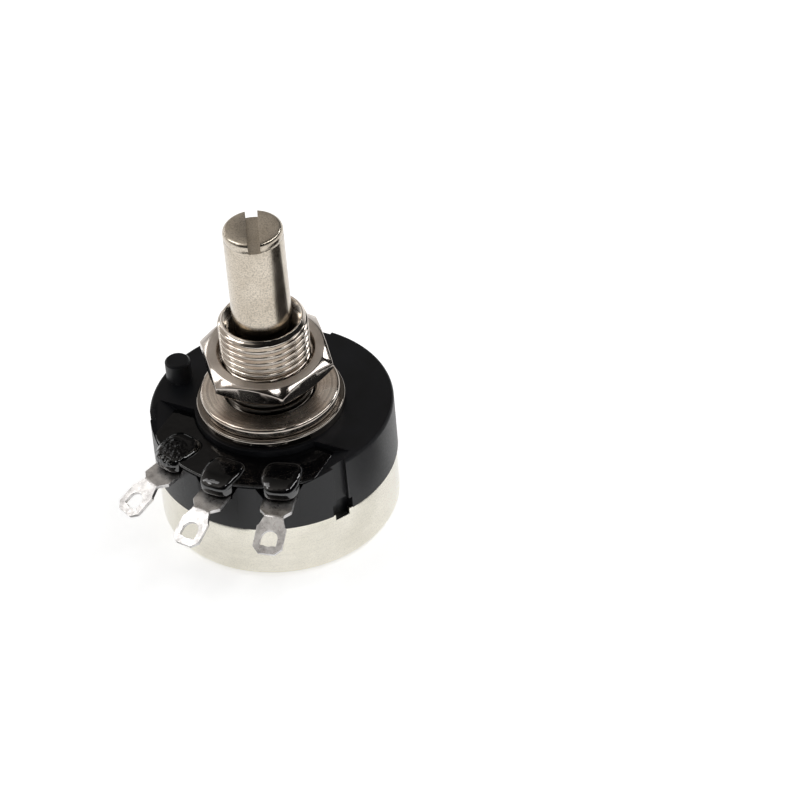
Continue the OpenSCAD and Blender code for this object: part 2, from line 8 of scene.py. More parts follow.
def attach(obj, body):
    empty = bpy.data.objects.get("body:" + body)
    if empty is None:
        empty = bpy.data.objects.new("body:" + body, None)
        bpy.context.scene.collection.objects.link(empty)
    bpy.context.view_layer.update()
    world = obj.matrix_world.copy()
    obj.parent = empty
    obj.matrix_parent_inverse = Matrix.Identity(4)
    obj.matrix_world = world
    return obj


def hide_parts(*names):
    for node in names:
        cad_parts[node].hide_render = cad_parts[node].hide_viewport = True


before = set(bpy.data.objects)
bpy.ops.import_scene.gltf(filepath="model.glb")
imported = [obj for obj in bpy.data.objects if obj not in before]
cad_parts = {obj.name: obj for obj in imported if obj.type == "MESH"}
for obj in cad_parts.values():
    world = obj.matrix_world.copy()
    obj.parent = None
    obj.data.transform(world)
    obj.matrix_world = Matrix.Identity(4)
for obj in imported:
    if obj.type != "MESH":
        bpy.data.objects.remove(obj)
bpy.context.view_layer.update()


# --- Rear cover -------------------------------------------------------------
# The cover is a cup drawn from nickel-plated steel sheet. It holds the whole
# control together: three tabs are cut free in its rim and folded in under the
# moulding, one below each crimp groove.

MM = 0.001


def linear(code):
    """An sRGB hex colour as the linear colour that Blender's sockets take."""
    parts = [int(code[i:i + 2], 16) / 255 for i in (1, 3, 5)]
    return [c / 12.92 if c <= 0.04045 else ((c + 0.055) / 1.055) ** 2.4 for c in parts] + [1]


def add_node(tree, kind, inputs=None, **settings):
    """Adds a node. Each input is a socket to link or a value to set, by name or number."""
    made = tree.nodes.new(kind)
    for key, value in settings.items():
        setattr(made, key, value)
    for key, value in (inputs or {}).items():
        if isinstance(value, bpy.types.NodeSocket):
            tree.links.new(value, made.inputs[key])
        else:
            made.inputs[key].default_value = value
    return made


def new_material(name):
    """An empty node material: its tree, its Principled shader and its Object coordinates."""
    made = bpy.data.materials.new(name)
    made.use_nodes = True
    tree = made.node_tree
    shader = tree.nodes["Principled BSDF"]
    place = add_node(tree, "ShaderNodeTexCoord").outputs["Object"]
    return made, tree, shader, place


def per_mm(count):
    """The scale of a texture with this many features to a millimetre."""
    return count / MM


def set_ramp(tree, factor, stops, **settings):
    """A colour ramp over factor. Each stop is a place with a hex colour or a grey value."""
    ramp = add_node(tree, "ShaderNodeValToRGB", {"Fac": factor})
    for key, value in settings.items():
        setattr(ramp.color_ramp, key, value)
    points = ramp.color_ramp.elements
    while len(points) < len(stops):
        points.new(0.5)
    for point, (at, colour) in zip(points, stops):
        point.position = at
        point.color = linear(colour) if isinstance(colour, str) else [colour] * 3 + [1]
    return ramp.outputs["Color"]


def connect(tree, shader, colour, gloss, relief):
    """Links a finish's colour, roughness and bumps to its shader."""
    tree.links.new(colour, shader.inputs["Base Color"])
    tree.links.new(gloss, shader.inputs["Roughness"])
    tree.links.new(relief, shader.inputs["Normal"])


def lathe_marks(tree, place, lines_per_mm):
    """Grey value of fine rings round the Z axis, as a turning tool or a drawing die leaves."""
    parts = add_node(tree, "ShaderNodeSeparateXYZ", {0: place})
    flat = add_node(tree, "ShaderNodeCombineXYZ", {0: parts.outputs[0], 1: parts.outputs[1]})
    out = add_node(tree, "ShaderNodeVectorMath", {0: flat.outputs[0]}, operation="LENGTH")
    track = add_node(tree, "ShaderNodeMath", {0: out.outputs["Value"], 1: parts.outputs[2]})
    rings = add_node(tree, "ShaderNodeTexNoise",
                     {"W": track.outputs[0], "Scale": per_mm(lines_per_mm), "Detail": 2},
                     noise_dimensions="1D")
    return rings.outputs["Fac"]


# Painted shade: a band of the nickel's colour is darkened where shadow falls in a gap or under
# another part.
SHADE_FADE = 0.25
PAINTED_SHADE_LEVEL = 0.12  # share of the metal's colour that is left in the painted shade
PATCH_WEAR = 0.12  # roughness that the cloudy patches gain


def nickel_plate(name, light, dark, gloss, face_gloss, rings, ring_bump, speckle,
                 grooved=0, painted_shade_band=None):
    """Bright nickel plate on metal. The plating is warm and mirror-like, with
    soft cloudy patches, a fine speckle and the rings of the tool under it. Gloss
    is the roughness of its sides, and face_gloss that of its satin flat faces.
    Where it is grooved by the tool, highlights stretch across the grooves.
    Between the two heights of painted_shade_band, the colour is darkened as painted shade."""
    made, tree, shader, place = new_material(name)
    cloud = add_node(tree, "ShaderNodeTexNoise",
                     {"Vector": place, "Scale": per_mm(0.3), "Detail": 4, "Roughness": 0.55})
    tone = set_ramp(tree, cloud.outputs["Fac"], [(0.35, dark), (0.62, light)])
    grit = add_node(tree, "ShaderNodeTexNoise",
                    {"Vector": place, "Scale": per_mm(7), "Detail": 3, "Roughness": 0.65})
    pits = set_ramp(tree, grit.outputs["Fac"], [(0.36, 0.35), (0.54, 1.0)])
    speckled = add_node(tree, "ShaderNodeMix", {"Factor": speckle, 6: tone, 7: pits},
                        data_type="RGBA", blend_type="MULTIPLY")
    marks = lathe_marks(tree, place, rings)
    streaks = set_ramp(tree, marks, [(0.38, 0.45), (0.6, 1.0)])
    streaked = add_node(tree, "ShaderNodeMix",
                        {"Factor": ring_bump, 6: speckled.outputs[2], 7: streaks},
                        data_type="RGBA", blend_type="MULTIPLY")
    colour = streaked.outputs[2]
    # Painted shade: between two heights the colour is darkened, standing for the shadow that falls
    # there.
    if painted_shade_band:
        foot, top = (height * MM for height in painted_shade_band)
        level = add_node(tree, "ShaderNodeSeparateXYZ", {0: place}).outputs[2]
        from_middle = add_node(tree, "ShaderNodeMath", {0: level, 1: (foot + top) / 2},
                               operation="SUBTRACT")
        from_middle = add_node(tree, "ShaderNodeMath", {0: from_middle.outputs[0]},
                               operation="ABSOLUTE")
        unshaded = add_node(tree, "ShaderNodeMapRange",
                         {"Value": from_middle.outputs[0],
                          "From Min": (top - foot) / 2 - SHADE_FADE * MM,
                          "From Max": (top - foot) / 2, "To Min": PAINTED_SHADE_LEVEL, "To Max": 1.0})
        shaded = add_node(tree, "ShaderNodeMix", {"Factor": 1.0, 6: colour, 7: unshaded.outputs[0]},
                           data_type="RGBA", blend_type="MULTIPLY")
        colour = shaded.outputs[2]
    normal = add_node(tree, "ShaderNodeNewGeometry").outputs["Normal"]
    upright = add_node(tree, "ShaderNodeMath",
                       {0: add_node(tree, "ShaderNodeSeparateXYZ", {0: normal}).outputs[2]},
                       operation="ABSOLUTE")
    satin = add_node(tree, "ShaderNodeMapRange",
                     {"Value": upright.outputs[0], "From Min": 0.90, "From Max": 0.98,
                      "To Min": gloss, "To Max": face_gloss})
    worn = add_node(tree, "ShaderNodeMath", {0: cloud.outputs["Fac"], 1: PATCH_WEAR,
                                             2: satin.outputs[0]}, operation="MULTIPLY_ADD")
    height = add_node(tree, "ShaderNodeMath", {0: grit.outputs["Fac"], 1: speckle, 2: marks},
                      operation="MULTIPLY_ADD")
    bump = add_node(tree, "ShaderNodeBump",
                    {"Height": height.outputs[0], "Strength": ring_bump, "Distance": 0.01 * MM})
    connect(tree, shader, colour, worn.outputs[0], bump.outputs[0])
    round_axis = add_node(tree, "ShaderNodeTangent", direction_type="RADIAL", axis="Z")
    tree.links.new(round_axis.outputs[0], shader.inputs["Tangent"])
    shader.inputs["Anisotropic"].default_value = grooved
    shader.inputs["Anisotropic Rotation"].default_value = 0.25
    shader.inputs["Metallic"].default_value = 1
    return made


def finished_mesh(name, source, smooth_below=35):
    """A bmesh as a mesh object at the origin, smooth but for edges sharper than smooth_below."""
    mesh = bpy.data.meshes.new(name)
    source.to_mesh(mesh)
    source.free()
    mesh.shade_smooth()
    mesh.set_sharp_from_angle(angle=radians(smooth_below))
    made = bpy.data.objects.new(name, mesh)
    bpy.context.scene.collection.objects.link(made)
    return made


def apply_modifiers(piece, smooth_below=35):
    """Turns a piece with its modifiers into a plain mesh, whose large faces stay flat."""
    def bake():
        graph = bpy.context.evaluated_depsgraph_get()
        piece.data = bpy.data.meshes.new_from_object(piece.evaluated_get(graph), depsgraph=graph)
        piece.modifiers.clear()
        piece.data.name = piece.name
    bake()
    piece.data.shade_smooth()
    piece.data.set_sharp_from_angle(angle=radians(smooth_below))
    flatter = piece.modifiers.new("flat large faces", "WEIGHTED_NORMAL")
    flatter.keep_sharp = True
    bake()
    return piece


def dress(piece, material, body, slot, *nodes):
    """Gives a piece its finish, and lets it stand for its CAD nodes on their body."""
    piece.data.materials.clear()
    piece.data.materials.append(material)
    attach(piece, body)
    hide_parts(*nodes)


def softened(piece, width, steps, angle=30):
    """Rounds the edges of a piece that are sharper than angle, as real ones are."""
    bevel = piece.modifiers.new("edge rounding", "BEVEL")
    bevel.width = width * MM
    bevel.segments = steps
    bevel.limit_method = "ANGLE"
    bevel.angle_limit = radians(angle)
    bevel.use_clamp_overlap = True
    return apply_modifiers(piece)


def filleted(corners, steps=5):
    """An outline of (r, z) points, with each corner (r, z, radius) rounded off."""
    points = []
    for i, (x, y, *rest) in enumerate(corners):
        radius = rest[0] if rest else 0
        here = Vector((x, y))
        if not radius:
            points.append(here)
            continue
        before = Vector(corners[i - 1][:2]) - here
        after = Vector(corners[(i + 1) % len(corners)][:2]) - here
        half = before.angle(after) / 2
        reach = radius / tan(half)
        a, b = here + before.normalized() * reach, here + after.normalized() * reach
        inwards = (before.normalized() + after.normalized()).normalized()
        centre = here + inwards * (radius / sin(half))
        start, end = a - centre, b - centre
        turn = start.angle_signed(end)
        for k in range(steps + 1):
            angle = -turn * k / steps
            points.append(centre + Vector((start.x * cos(angle) - start.y * sin(angle),
                                           start.x * sin(angle) + start.y * cos(angle))))
    return [(p[0], p[1]) for p in points]


def apart(one, two):
    """Degrees between two directions round the Z axis."""
    return abs((one - two + 180) % 360 - 180)


def turned(name, outline, around=192):
    """A closed outline of (r, z) points in millimetres, turned round the Z axis."""
    made = bmesh.new()
    rings = []
    for r, z in outline:
        if r < 1e-6:
            rings.append([made.verts.new((0, 0, z * MM))])
            continue
        rings.append([made.verts.new((r * sin(2 * pi * i / around) * MM,
                                      -r * cos(2 * pi * i / around) * MM, z * MM))
                      for i in range(around)])
    for one, two in zip(rings, rings[1:] + rings[:1]):
        if len(one) == 1 and len(two) == 1:
            continue
        for i in range(around):
            j = (i + 1) % around
            corners = [one[i % len(one)], one[j % len(one)], two[j % len(two)], two[i % len(two)]]
            made.faces.new(list(dict.fromkeys(corners)))
    bmesh.ops.recalc_face_normals(made, faces=made.faces)
    return finished_mesh(name, made)


COVER_R = 12.1
COVER_RIM_Z = -6.38
COVER_BACK_Z = -12.75
COVER_SHEET = 0.35
COVER_ROUND = 1.0
COVER_EDGE = 0.12
COVER_STEPS = 360
BACK_RINGS = (0.35, 0.7)  # shares of the radius
SIDE_RINGS_Z = (-10, -8.5)
NOTCH_MARGIN = 0.3
TAB_WIDTH = 1.6
TAB_DROP = 0.67
TAB_REACH = 1.3
TAB_ANGLES = (-60, 60, 180)
NUMERAL_R = 8.6
NUMERAL_SIZE = 3.0
NUMERAL_DEPTH = 0.06

cover_sheet_metal = nickel_plate("bright nickel, drawn sheet", "#E8E4D8", "#DEDACD",
                                 gloss=0.14, face_gloss=0.20, rings=2.5, ring_bump=0.05,
                                 speckle=0.16)

cup = bmesh.new()
side = filleted([(0, COVER_BACK_Z), (COVER_R, COVER_BACK_Z, COVER_ROUND),
                 (COVER_R, COVER_RIM_Z)], steps=8)[1:]
side = [(COVER_R * share, COVER_BACK_Z) for share in BACK_RINGS] + side[:-1]
side += [(COVER_R, z) for z in (*SIDE_RINGS_Z, COVER_RIM_Z - TAB_DROP, COVER_RIM_Z)]
pole = cup.verts.new((0, 0, COVER_BACK_Z * MM))
half_notch = degrees(TAB_WIDTH / 2 / COVER_R)
turns = sorted({i * 360 / COVER_STEPS for i in range(COVER_STEPS)
                if all(apart(i * 360 / COVER_STEPS, a) > half_notch + NOTCH_MARGIN
                       for a in TAB_ANGLES)}
               | {(a + s * half_notch) % 360 for a in TAB_ANGLES for s in (-1, -0.5, 0, 0.5, 1)})
columns = [[cup.verts.new((r * sin(radians(a)) * MM, -r * cos(radians(a)) * MM, z * MM))
            for r, z in side] for a in turns]
for k, (a, one) in enumerate(zip(turns, columns)):
    two = columns[(k + 1) % len(columns)]
    cup.faces.new([pole, two[0], one[0]])
    step = (turns[(k + 1) % len(turns)] - a) % 360
    notched = any(apart(a + step / 2, t) < half_notch for t in TAB_ANGLES)
    for i in range(len(side) - 1 - notched):
        cup.faces.new([one[i], two[i], two[i + 1], one[i + 1]])
    if notched:
        folded = []
        for at in (one, two):
            edge = at[-2].co
            inward = Vector((-edge.x, -edge.y, 0)).normalized() * TAB_REACH * MM
            folded.append(cup.verts.new(edge + inward))
        cup.faces.new([one[-2], two[-2], folded[1], folded[0]])
bmesh.ops.remove_doubles(cup, verts=cup.verts, dist=1e-3 * MM)
bmesh.ops.recalc_face_normals(cup, faces=cup.faces)
cover = finished_mesh("rear_cover_drawn", cup)
wall = cover.modifiers.new("sheet thickness", "SOLIDIFY")
wall.thickness = COVER_SHEET * MM
wall.offset = -1
cover = softened(cover, COVER_EDGE, 3)

numerals = bmesh.new()
for number, away in ((1, -30), (2, 0), (3, 30)):
    sign = bpy.data.curves.new(f"pin_{number}", "FONT")
    sign.body = str(number)
    sign.size = NUMERAL_SIZE * MM
    sign.extrude = NUMERAL_DEPTH * MM
    sign.align_x = "CENTER"
    sign.align_y = "CENTER"
    stamp = bpy.data.objects.new(f"pin_{number}", sign)
    bpy.context.scene.collection.objects.link(stamp)
    stamp.location = Vector((NUMERAL_R * sin(radians(away)), -NUMERAL_R * cos(radians(away)),
                             COVER_BACK_Z)) * MM
    stamp.rotation_euler = (0, pi, 0)
    bpy.context.view_layer.update()
    graph = bpy.context.evaluated_depsgraph_get()
    letter = bpy.data.meshes.new_from_object(stamp.evaluated_get(graph))
    letter.transform(stamp.matrix_world)
    numerals.from_mesh(letter)
    bpy.data.objects.remove(stamp)
bmesh.ops.remove_doubles(numerals, verts=numerals.verts, dist=1e-3 * MM)
bmesh.ops.recalc_face_normals(numerals, faces=numerals.faces)
numerals = finished_mesh("numerals", numerals)
engraving = cover.modifiers.new("pin numbers", "BOOLEAN")
engraving.object = numerals
engraving.solver = "EXACT"
apply_modifiers(cover)
bpy.data.objects.remove(numerals)
dress(cover, cover_sheet_metal, "body", "nickel_plated_sheet", "rear_cover")


# --- Front housing ----------------------------------------------------------
# The front is compression-moulded from black phenolic, with the locating lug,
# the crimp grooves and the terminals' recess formed in the same pressing. The
# die leaves it satin, duller on the face than round the wall.


def polish_by_slope(tree, shader, steep, level, on_walls, on_top):
    """Sets how strongly a surface mirrors, from its steep walls to its level top."""
    normal = add_node(tree, "ShaderNodeNewGeometry").outputs["Normal"]
    upright = add_node(tree, "ShaderNodeSeparateXYZ", {0: normal}).outputs[2]
    polish = add_node(tree, "ShaderNodeMapRange",
                      {"Value": upright, "From Min": steep, "From Max": level,
                       "To Min": on_walls, "To Max": on_top})
    tree.links.new(polish.outputs[0], shader.inputs["Specular IOR Level"])


def copy_of(node, name, width, steps, moved=None):
    """A copy of a CAD node's mesh, merged, with its edges rounded and its points moved."""
    made = bmesh.new()
    made.from_mesh(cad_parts[node].data)
    bmesh.ops.remove_doubles(made, verts=made.verts, dist=1e-4 * MM)
    bmesh.ops.dissolve_limit(made, angle_limit=radians(0.5), verts=made.verts, edges=made.edges)
    for vert in made.verts if moved else ():
        vert.co = moved(vert.co)
    return softened(finished_mesh(name, made), width, steps)


HOUSING_EDGE = 0.12
PHENOLIC_IOR = 1.55

# A deep satin black: faint grey flow marks, a fine grain, and a soft sheen on the walls only.
phenolic, tree, shader, place = new_material("phenolic moulding, satin black")
flow = add_node(tree, "ShaderNodeTexNoise",
                {"Vector": place, "Scale": per_mm(0.35), "Detail": 4, "Roughness": 0.55})
tone = set_ramp(tree, flow.outputs["Fac"], [(0.3, "#0B0C0E"), (0.7, "#121317")])
grain = add_node(tree, "ShaderNodeTexNoise",
                 {"Vector": place, "Scale": per_mm(5), "Detail": 4, "Roughness": 0.7})
gloss = set_ramp(tree, grain.outputs["Fac"], [(0.3, 0.34), (0.7, 0.46)])
relief = add_node(tree, "ShaderNodeBump",
                  {"Height": grain.outputs["Fac"], "Strength": 0.2, "Distance": 0.01 * MM})
connect(tree, shader, tone, gloss, relief.outputs[0])
polish_by_slope(tree, shader, steep=0.3, level=0.9, on_walls=0.34, on_top=0.12)
shader.inputs["IOR"].default_value = PHENOLIC_IOR

housing = copy_of("front_housing", "front_housing_moulding", HOUSING_EDGE, 3)
dress(housing, phenolic, "body", "moulded_phenolic", "front_housing")


# --- Threaded bushing -------------------------------------------------------
# The bushing is turned from brass bar and nickel plated, with a round flange,
# a cut M9 x 0.75 thread and a countersunk mouth. Its spigot goes through the
# moulding and is riveted over behind the front wall.

BORE_R = 2.83
THREAD_R = 4.5
THREAD_PITCH = 0.75
THREAD_DEPTH = 0.4
THREAD_CHAMFER = 0.45
THREAD_FOOT_Z = 1.3
BUSHING_Z = 11.1
MOUTH_DEPTH = 1.1
FLANGE_R = 7.5
FLANGE_T = 1.0
FLANGE_ROUND = 0.2
COLLAR_R = 5.2
COLLAR_TOP_Z = -3.7
COLLAR_Z = -4.3
SPIGOT_R = 4.0
ROW_STEP = 0.05
CHAMFER_ROWS = 8
COLLAR_ROUND = 0.25
FLANGE_FOOT_ROUND = 0.08
CREST_ROUND = 0.06
MOUTH_ROUND = 0.05
RUN_IN = 0.05
CORE_MARGIN = 0.1
# Where a flank starts and ends, from 0 at the crest's middle to 1 at the root's.
FLANK_FROM, FLANK_TO = 0.12, 0.80


def thread_tree():
    """Geometry Nodes that cut a right-handed thread into a turned blank."""
    tree = bpy.data.node_groups.new("cut thread", "GeometryNodeTree")
    tree.interface.new_socket("Geometry", in_out="INPUT", socket_type="NodeSocketGeometry")
    for name in ("Pitch", "Depth", "Crest radius", "Foot height", "Core radius"):
        tree.interface.new_socket(name, in_out="INPUT", socket_type="NodeSocketFloat")
    tree.interface.new_socket("Finish", in_out="INPUT", socket_type="NodeSocketMaterial")
    tree.interface.new_socket("Geometry", in_out="OUTPUT", socket_type="NodeSocketGeometry")
    given = tree.nodes.new("NodeGroupInput").outputs

    def calc(operation, *values):
        return add_node(tree, "ShaderNodeMath", dict(enumerate(values)),
                        operation=operation).outputs[0]

    at = add_node(tree, "GeometryNodeInputPosition").outputs[0]
    x, y, z = add_node(tree, "ShaderNodeSeparateXYZ", {0: at}).outputs
    flat = add_node(tree, "ShaderNodeCombineXYZ", {0: x, 1: y}).outputs[0]
    radius = add_node(tree, "ShaderNodeVectorMath", {0: flat}, operation="LENGTH").outputs["Value"]
    turn = calc("DIVIDE", calc("ARCTAN2", y, x), 2 * pi)
    phase = calc("FRACT", calc("SUBTRACT", calc("DIVIDE", z, given["Pitch"]), turn))
    slope = calc("ABSOLUTE", calc("MULTIPLY_ADD", phase, 2.0, -1.0))
    groove = add_node(tree, "ShaderNodeMapRange",
                      {"Value": slope, "From Min": FLANK_FROM, "From Max": FLANK_TO},
                      interpolation_type="SMOOTHSTEP").outputs[0]
    above = calc("SUBTRACT", z, given["Foot height"])
    run_out = add_node(tree, "ShaderNodeMapRange",
                       {"Value": above, "From Min": 0.0, "From Max": given["Pitch"]}).outputs[0]
    cut = calc("MULTIPLY", calc("MULTIPLY", groove, run_out), given["Depth"])
    target = calc("MINIMUM", radius, calc("SUBTRACT", given["Crest radius"], cut))
    outer = calc("GREATER_THAN", radius, given["Core radius"])
    threaded = calc("MULTIPLY", outer, calc("GREATER_THAN", above, 0.0))
    moved = add_node(tree, "ShaderNodeVectorMath",
                     {0: flat, "Scale": calc("DIVIDE", target, radius)}, operation="SCALE")
    lifted = add_node(tree, "ShaderNodeCombineXYZ", {2: z}).outputs[0]
    place = add_node(tree, "ShaderNodeVectorMath", {0: moved.outputs[0], 1: lifted}).outputs[0]
    shaped = add_node(tree, "GeometryNodeSetPosition",
                      {"Geometry": given["Geometry"], "Selection": threaded, "Position": place})
    real = add_node(tree, "GeometryNodeRealizeInstances", {0: shaped.outputs[0]})
    finished = add_node(tree, "GeometryNodeSetMaterial",
                        {"Geometry": real.outputs[0], "Material": given["Finish"]})
    add_node(tree, "NodeGroupOutput", {0: finished.outputs[0]})
    return tree


# Its band of painted shade darkens the flange's top and the thread below the nut, where the nut's
# shadow falls.
turned_nickel = nickel_plate("bright nickel, turned brass", "#DAD2C8", "#C2B7AC",
                             gloss=0.06, face_gloss=0.14, rings=9, ring_bump=0.06,
                             speckle=0.10, painted_shade_band=(0.8, 4.9))

rows = ceil((BUSHING_Z - THREAD_CHAMFER - THREAD_FOOT_Z) / ROW_STEP)
flank = [(THREAD_R, THREAD_FOOT_Z + (BUSHING_Z - THREAD_CHAMFER - THREAD_FOOT_Z) * i / rows)
         for i in range(rows + 1)]
chamfer_rows = [(THREAD_R - THREAD_CHAMFER * i / CHAMFER_ROWS,
                 BUSHING_Z - THREAD_CHAMFER * (1 - i / CHAMFER_ROWS))
                for i in range(1, CHAMFER_ROWS)]
outline = filleted([
    (BORE_R, COLLAR_Z), (COLLAR_R, COLLAR_Z, COLLAR_ROUND), (COLLAR_R, COLLAR_TOP_Z),
    (SPIGOT_R, COLLAR_TOP_Z), (SPIGOT_R, 0), (FLANGE_R, 0, FLANGE_FOOT_ROUND),
    (FLANGE_R, FLANGE_T, FLANGE_ROUND), (THREAD_R - THREAD_DEPTH, FLANGE_T),
    (THREAD_R - THREAD_DEPTH, THREAD_FOOT_Z - RUN_IN), (THREAD_R, THREAD_FOOT_Z)])
outline += flank[1:] + chamfer_rows
outline += filleted([(THREAD_R, BUSHING_Z - THREAD_CHAMFER),
                     (THREAD_R - THREAD_CHAMFER, BUSHING_Z, CREST_ROUND),
                     (BORE_R + MOUTH_DEPTH, BUSHING_Z, MOUTH_ROUND),
                     (BORE_R, BUSHING_Z - MOUTH_DEPTH, MOUTH_ROUND),
                     (BORE_R, COLLAR_Z)])[1:-1]
bushing = turned("bushing_turned", outline, around=240)
cutter = bushing.modifiers.new("thread", "NODES")
cutter.node_group = thread_tree()
sizes = {"Pitch": THREAD_PITCH * MM, "Depth": THREAD_DEPTH * MM, "Crest radius": THREAD_R * MM,
         "Foot height": THREAD_FOOT_Z * MM,
         "Core radius": (BORE_R + MOUTH_DEPTH + CORE_MARGIN) * MM,
         "Finish": turned_nickel}
for item in cutter.node_group.interface.items_tree:
    if item.name in sizes:
        cutter[item.identifier] = sizes[item.name]
apply_modifiers(bushing, 50)
dress(bushing, turned_nickel, "body", "nickel_plated_bushing", "bushing")


# --- Terminals --------------------------------------------------------------
# Three terminals are stamped from brass sheet and hot tinned. Each lies in its
# seat in the moulding under a rivet, leaves through the wall, narrows to a neck
# and is bent down at an eyelet for the wire. In the photo the tabs lean sideways.

# Hot tin: a soft grey-white shine in blotches, over shallow ripples.
tinned, tree, shader, place = new_material("hot tin, stamped brass")
blotch = add_node(tree, "ShaderNodeTexNoise",
                  {"Vector": place, "Scale": per_mm(0.9), "Detail": 5, "Roughness": 0.65})
tone = set_ramp(tree, blotch.outputs["Fac"], [(0.32, "#A19F9E"), (0.5, "#C8C6C5"),
                                              (0.7, "#E2E0DE")])
ripple = add_node(tree, "ShaderNodeTexNoise",
                  {"Vector": place, "Scale": per_mm(3), "Detail": 4, "Roughness": 0.6})
gloss = set_ramp(tree, ripple.outputs["Fac"], [(0.35, 0.26), (0.7, 0.42)])
relief = add_node(tree, "ShaderNodeBump",
                  {"Height": ripple.outputs["Fac"], "Strength": 0.3, "Distance": 0.02 * MM})
connect(tree, shader, tone, gloss, relief.outputs[0])
shader.inputs["Metallic"].default_value = 1

WALL_R = 12.3
STRIP_L = 2.6
TERMINAL_SPACING = 30
TERMINAL_FAN = 15
# The bend of each tab in degrees, and how far off the wall it is.
SIDE_BENDS = {1: (-10, STRIP_L), 2: (-6.5, 0), 3: (-3.5, STRIP_L)}
BEND_RUN = 0.5  # length of tab that the bend takes up
BEND_TAKES = 0.06  # how much shorter a bend makes the tab
TERMINAL_EDGE = 0.06


def bent_sideways(number, point):
    """A terminal's point once its tab, from a distance off the wall, is bent to one side."""
    bend, start = SIDE_BENDS[number]
    k = number - 2
    away, turn = radians(k * TERMINAL_SPACING), radians(k * TERMINAL_FAN)
    out = Vector((sin(turn), -cos(turn), 0))
    pivot = Vector((sin(away), -cos(away), 0)) * WALL_R * MM + out * start * MM
    past = (point - pivot).dot(out) / MM
    share = min(1, max(0, past / BEND_RUN + 0.5))
    flat_pivot = Vector((pivot.x, pivot.y, point.z))
    turned_tab = Matrix.Rotation(radians(bend * share), 3, "Z") @ (point - flat_pivot)
    return flat_pivot + turned_tab - out * BEND_TAKES * share * MM


for number in (1, 2, 3):
    terminal = copy_of(f"terminal_{number}", f"terminal_{number}_stamping", TERMINAL_EDGE, 2,
                       moved=lambda point: bent_sideways(number, point))
    dress(terminal, tinned, "body", "tinned_brass", f"terminal_{number}")


# --- Sealing compound -------------------------------------------------------
# Black casting compound is dropped on each rivet and terminal root. It sets in
# a lobe that bulges over the housing's wall, glossy on its shoulders, dusty on
# its level top, and wrinkled over pin 1.

LOBE_FOOT_Z = -2.12
LOBE_TOP_Z = -0.17
LOBE_TIP_Y = -0.85
LOBE_BACK_Y = 3.7
LOBE_HALF_WIDTH = 2.05
LOBE_SQUARE = 0.54
LOBE_TIP_SHARE = 0.80  # width at the tip, as a share of the full width
LOBE_NARROWS = 0.45
LOBE_SAG = 0.18
LOBE_SAG_RUN = 0.35
LOBE_WOBBLE = 0.05
LOBE_WOBBLE_SCALE = 1.7
WRINKLED_AT = Vector((-6.4, -10.2, -0.8)) * MM
WRINKLED_R = 1.0
SMOOTH_R = 2.1
WRINKLE_HEIGHT = 5.0
COMPOUND_IOR = 1.55


def at_terminal(k, x, y, z):
    """A point of terminal k's own axes (-1, 0 or 1; y runs inwards from the wall), in metres."""
    away, turn = radians(k * TERMINAL_SPACING), radians(k * TERMINAL_FAN)
    return Vector((WALL_R * sin(away) + x * cos(turn) - y * sin(turn),
                   -WALL_R * cos(away) + x * sin(turn) + y * cos(turn), z)) * MM


# Wet-looking black: sharp highlights on the shoulders, dull dust on top, creases over pin 1.
compound, tree, shader, place = new_material("casting compound, glossy black")
swirl = add_node(tree, "ShaderNodeTexNoise",
                 {"Vector": place, "Scale": per_mm(0.8), "Detail": 3, "Roughness": 0.5})
tone = set_ramp(tree, swirl.outputs["Fac"], [(0.3, "#030304"), (0.7, "#070708")])
dust = add_node(tree, "ShaderNodeTexNoise",
                {"Vector": place, "Scale": per_mm(9), "Detail": 2, "Roughness": 0.6})
gloss = set_ramp(tree, dust.outputs["Fac"], [(0.5, 0.03), (0.8, 0.12)])
away = add_node(tree, "ShaderNodeVectorMath", {0: place, 1: WRINKLED_AT}, operation="DISTANCE")
near = add_node(tree, "ShaderNodeMapRange",
                {"Value": away.outputs["Value"], "From Min": WRINKLED_R * MM,
                 "From Max": SMOOTH_R * MM, "To Min": 1.0, "To Max": 0.0})
wrinkles = add_node(tree, "ShaderNodeTexVoronoi",
                    {"Vector": place, "Scale": per_mm(2.6)}, feature="SMOOTH_F1")
creased = add_node(tree, "ShaderNodeMath", {0: wrinkles.outputs["Distance"], 1: near.outputs[0]},
                   operation="MULTIPLY")
height = add_node(tree, "ShaderNodeMath",
                  {0: creased.outputs[0], 1: WRINKLE_HEIGHT, 2: swirl.outputs["Fac"]},
                  operation="MULTIPLY_ADD")
relief = add_node(tree, "ShaderNodeBump",
                  {"Height": height.outputs[0], "Strength": 0.6, "Distance": 0.1 * MM})
connect(tree, shader, tone, gloss, relief.outputs[0])
polish_by_slope(tree, shader, steep=0.80, level=0.97, on_walls=1.0, on_top=0.12)
shader.inputs["IOR"].default_value = COMPOUND_IOR

lobes = bmesh.new()
for k in (-1, 0, 1):
    lobe = bmesh.ops.create_uvsphere(lobes, u_segments=64, v_segments=48, radius=1)["verts"]
    for vert in lobe:
        x, y, z = (abs(c) ** LOBE_SQUARE * (1 if c > 0 else -1) for c in vert.co)
        wobble = 1 + LOBE_WOBBLE * noise.noise(vert.co * LOBE_WOBBLE_SCALE
                                               + Vector((7 * k, 0, 0)))
        inward = (y + 1) / 2
        share = LOBE_TIP_SHARE + (1 - LOBE_TIP_SHARE) * min(1, inward / LOBE_NARROWS)
        width = LOBE_HALF_WIDTH * share * wobble
        near_tip = max(0, LOBE_SAG_RUN - inward) / LOBE_SAG_RUN
        sag = (LOBE_TOP_Z - LOBE_FOOT_Z) * LOBE_SAG * near_tip
        vert.co = at_terminal(k, x * width,
                              LOBE_TIP_Y + (LOBE_BACK_Y - LOBE_TIP_Y) * inward,
                              LOBE_FOOT_Z + (LOBE_TOP_Z - LOBE_FOOT_Z - sag) * (z + 1) / 2)
seal = finished_mesh("terminal_seal_cast", lobes, smooth_below=180)

